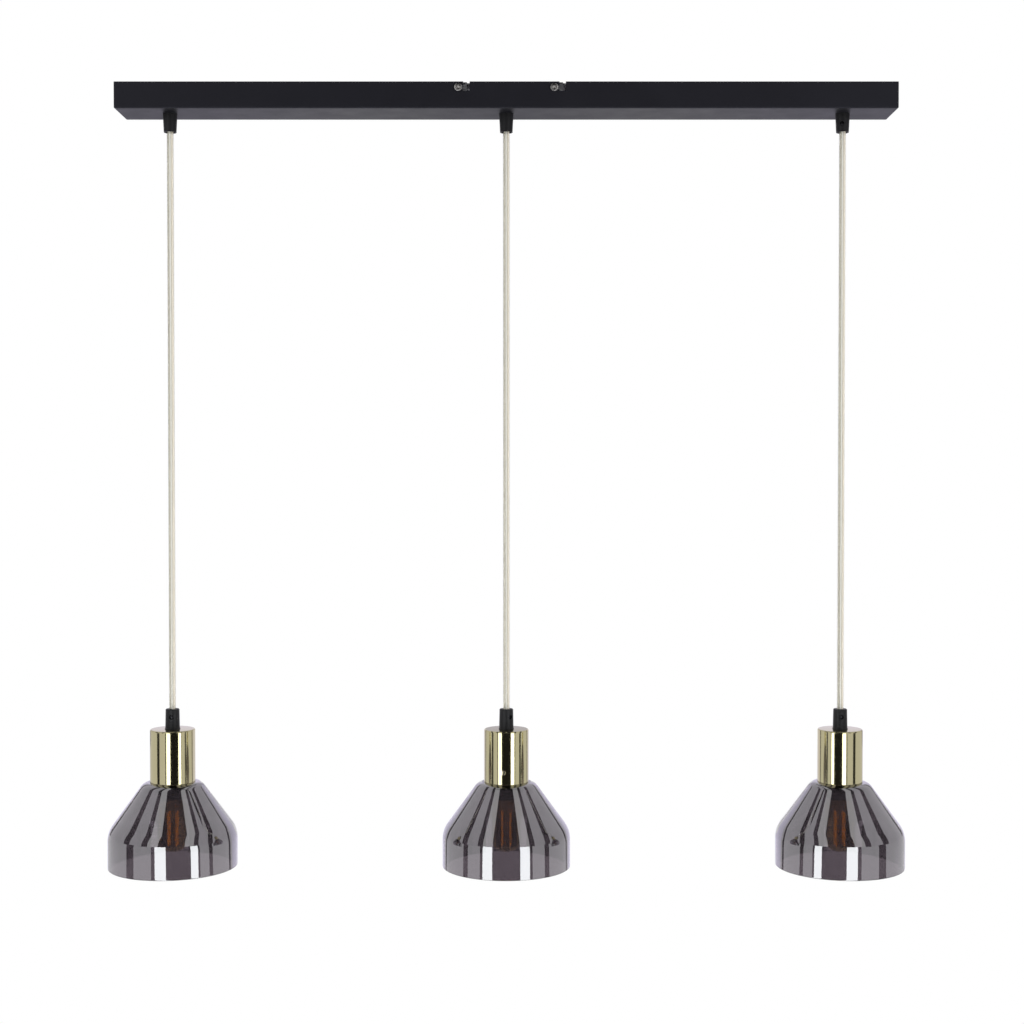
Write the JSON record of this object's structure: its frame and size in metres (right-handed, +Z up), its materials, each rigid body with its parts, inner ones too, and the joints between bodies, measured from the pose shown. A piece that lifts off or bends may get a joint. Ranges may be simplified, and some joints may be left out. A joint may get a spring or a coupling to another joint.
{
  "type": "linear island pendant",
  "caption": "Black ceiling box on a bracket, with cord-hung lamp heads in a row: brass cups, smoked glass shades and amber tube bulbs.",
  "frame": {"origin": "centre of the bracket's upper face, on the ceiling, at the middle of the box's open top", "axes": "+X along the ceiling box, -Y to the front, +Z up to the ceiling; everything hangs towards -Z"},
  "size_m": [0.829, 0.133, 0.8085],
  "materials": {
    "canopy_black": "satin black powder coat",
    "galvanised": "galvanised",
    "zinc_screw": "zinc plated",
    "block_plastic": "natural",
    "plain_brass": "plain",
    "grip_black": "moulded",
    "grub_screw": "blackened",
    "cord_clear": "clear jacket over ivory cores",
    "polished_brass": "polished pale brass plate",
    "holder_black": "moulded",
    "ring_black": "moulded",
    "smoked_glass": "smoked, half mirrored",
    "bulb_cap_metal": "nickel plated",
    "amber_glass": "amber tinted",
    "filament_amber": "phosphor coated"
  },
  "bodies": {
    "bracket": {"mounting_bracket": "galvanised", "canopy_screws": "zinc_screw"},
    "canopy": {"canopy": "canopy_black", "terminal_block": "block_plastic", "terminal_screws": "plain_brass", "earth_screw": "plain_brass", "upper_locknuts": "grip_black", "upper_grub_screws": "grub_screw", "upper_grip_left": "grip_black", "upper_grip_middle": "grip_black", "upper_grip_right": "grip_black", "lead_left": "cord_clear", "lead_middle": "cord_clear", "lead_right": "cord_clear"},
    "cord_bend_left": {"cord_bend_left": "cord_clear"},
    "cord_left": {"cord_left": "cord_clear"},
    "head_left": {"lower_grip_left": "grip_black", "head_screws_left": "grub_screw", "nipple_left": "galvanised", "cup_left": "polished_brass", "holder_cap_left": "holder_black", "holder_body_left": "holder_black", "lamp_contacts_left": "plain_brass", "shade_ring_left": "ring_black", "shade_left": "smoked_glass"},
    "bulb_thread_left": {"bulb_contact_left": "bulb_cap_metal"},
    "bulb_left": {"bulb_cap_left": "bulb_cap_metal", "bulb_glass_left": "amber_glass", "bulb_filaments_left": "filament_amber"},
    "cord_bend_middle": {"cord_bend_middle": "cord_clear"},
    "cord_middle": {"cord_middle": "cord_clear"},
    "head_middle": {"lower_grip_middle": "grip_black", "head_screws_middle": "grub_screw", "nipple_middle": "galvanised", "cup_middle": "polished_brass", "holder_cap_middle": "holder_black", "holder_body_middle": "holder_black", "lamp_contacts_middle": "plain_brass", "shade_ring_middle": "ring_black", "shade_middle": "smoked_glass"},
    "bulb_thread_middle": {"bulb_contact_middle": "bulb_cap_metal"},
    "bulb_middle": {"bulb_cap_middle": "bulb_cap_metal", "bulb_glass_middle": "amber_glass", "bulb_filaments_middle": "filament_amber"},
    "cord_bend_right": {"cord_bend_right": "cord_clear"},
    "cord_right": {"cord_right": "cord_clear"},
    "head_right": {"lower_grip_right": "grip_black", "head_screws_right": "grub_screw", "nipple_right": "galvanised", "cup_right": "polished_brass", "holder_cap_right": "holder_black", "holder_body_right": "holder_black", "lamp_contacts_right": "plain_brass", "shade_ring_right": "ring_black", "shade_right": "smoked_glass"},
    "bulb_thread_right": {"bulb_contact_right": "bulb_cap_metal"},
    "bulb_right": {"bulb_cap_right": "bulb_cap_metal", "bulb_glass_right": "amber_glass", "bulb_filaments_right": "filament_amber"}
  },
  "joints": [
    {"name": "canopy_release", "type": "slide", "parent": "bracket", "child": "canopy", "axis": [-1, 0, 0], "range_m": [0, 0.0085]},
    {"name": "swing_front_left", "type": "hinge", "parent": "canopy", "child": "cord_bend_left", "pos_m": [-0.348, 0, -0.043], "axis": [1, 0, 0], "range_deg": [-20, 20]},
    {"name": "swing_side_left", "type": "hinge", "parent": "cord_bend_left", "child": "cord_left", "pos_m": [-0.348, 0, -0.043], "axis": [0, 1, 0], "range_deg": [-8, 20]},
    {"name": "cord_twist_left", "type": "hinge", "parent": "cord_left", "child": "head_left", "pos_m": [-0.348, 0, -0.6547], "axis": [0, 0, 1], "range_deg": [-90, 90], "stiffness_Nm_per_rad": 0.003},
    {"name": "bulb_travel_left", "type": "slide", "parent": "head_left", "child": "bulb_thread_left", "axis": [0, 0, -1], "range_m": [0, 0.0115]},
    {"name": "bulb_unscrew_left", "type": "hinge", "parent": "bulb_thread_left", "child": "bulb_left", "pos_m": [-0.348, 0, -0.72], "axis": [0, 0, -1], "range_deg": [0, 1440]},
    {"name": "swing_front_middle", "type": "hinge", "parent": "canopy", "child": "cord_bend_middle", "pos_m": [0, 0, -0.043], "axis": [1, 0, 0], "range_deg": [-20, 20]},
    {"name": "swing_side_middle", "type": "hinge", "parent": "cord_bend_middle", "child": "cord_middle", "pos_m": [0, 0, -0.043], "axis": [0, 1, 0], "range_deg": [-8, 8]},
    {"name": "cord_twist_middle", "type": "hinge", "parent": "cord_middle", "child": "head_middle", "pos_m": [0, 0, -0.6547], "axis": [0, 0, 1], "range_deg": [-90, 90], "stiffness_Nm_per_rad": 0.003},
    {"name": "bulb_travel_middle", "type": "slide", "parent": "head_middle", "child": "bulb_thread_middle", "axis": [0, 0, -1], "range_m": [0, 0.0115]},
    {"name": "bulb_unscrew_middle", "type": "hinge", "parent": "bulb_thread_middle", "child": "bulb_middle", "pos_m": [0, 0, -0.72], "axis": [0, 0, -1], "range_deg": [0, 1440]},
    {"name": "swing_front_right", "type": "hinge", "parent": "canopy", "child": "cord_bend_right", "pos_m": [0.348, 0, -0.043], "axis": [1, 0, 0], "range_deg": [-20, 20]},
    {"name": "swing_side_right", "type": "hinge", "parent": "cord_bend_right", "child": "cord_right", "pos_m": [0.348, 0, -0.043], "axis": [0, 1, 0], "range_deg": [-20, 8]},
    {"name": "cord_twist_right", "type": "hinge", "parent": "cord_right", "child": "head_right", "pos_m": [0.348, 0, -0.6547], "axis": [0, 0, 1], "range_deg": [-90, 90], "stiffness_Nm_per_rad": 0.003},
    {"name": "bulb_travel_right", "type": "slide", "parent": "head_right", "child": "bulb_thread_right", "axis": [0, 0, -1], "range_m": [0, 0.0115]},
    {"name": "bulb_unscrew_right", "type": "hinge", "parent": "bulb_thread_right", "child": "bulb_right", "pos_m": [0.348, 0, -0.72], "axis": [0, 0, -1], "range_deg": [0, 1440]}
  ],
  "couplings": [
    {"joint": "bulb_travel_left", "follows": "bulb_unscrew_left", "m_per_rad": 0.00044914},
    {"joint": "bulb_travel_middle", "follows": "bulb_unscrew_middle", "m_per_rad": 0.00044914},
    {"joint": "bulb_travel_right", "follows": "bulb_unscrew_right", "m_per_rad": 0.00044914}
  ]
}
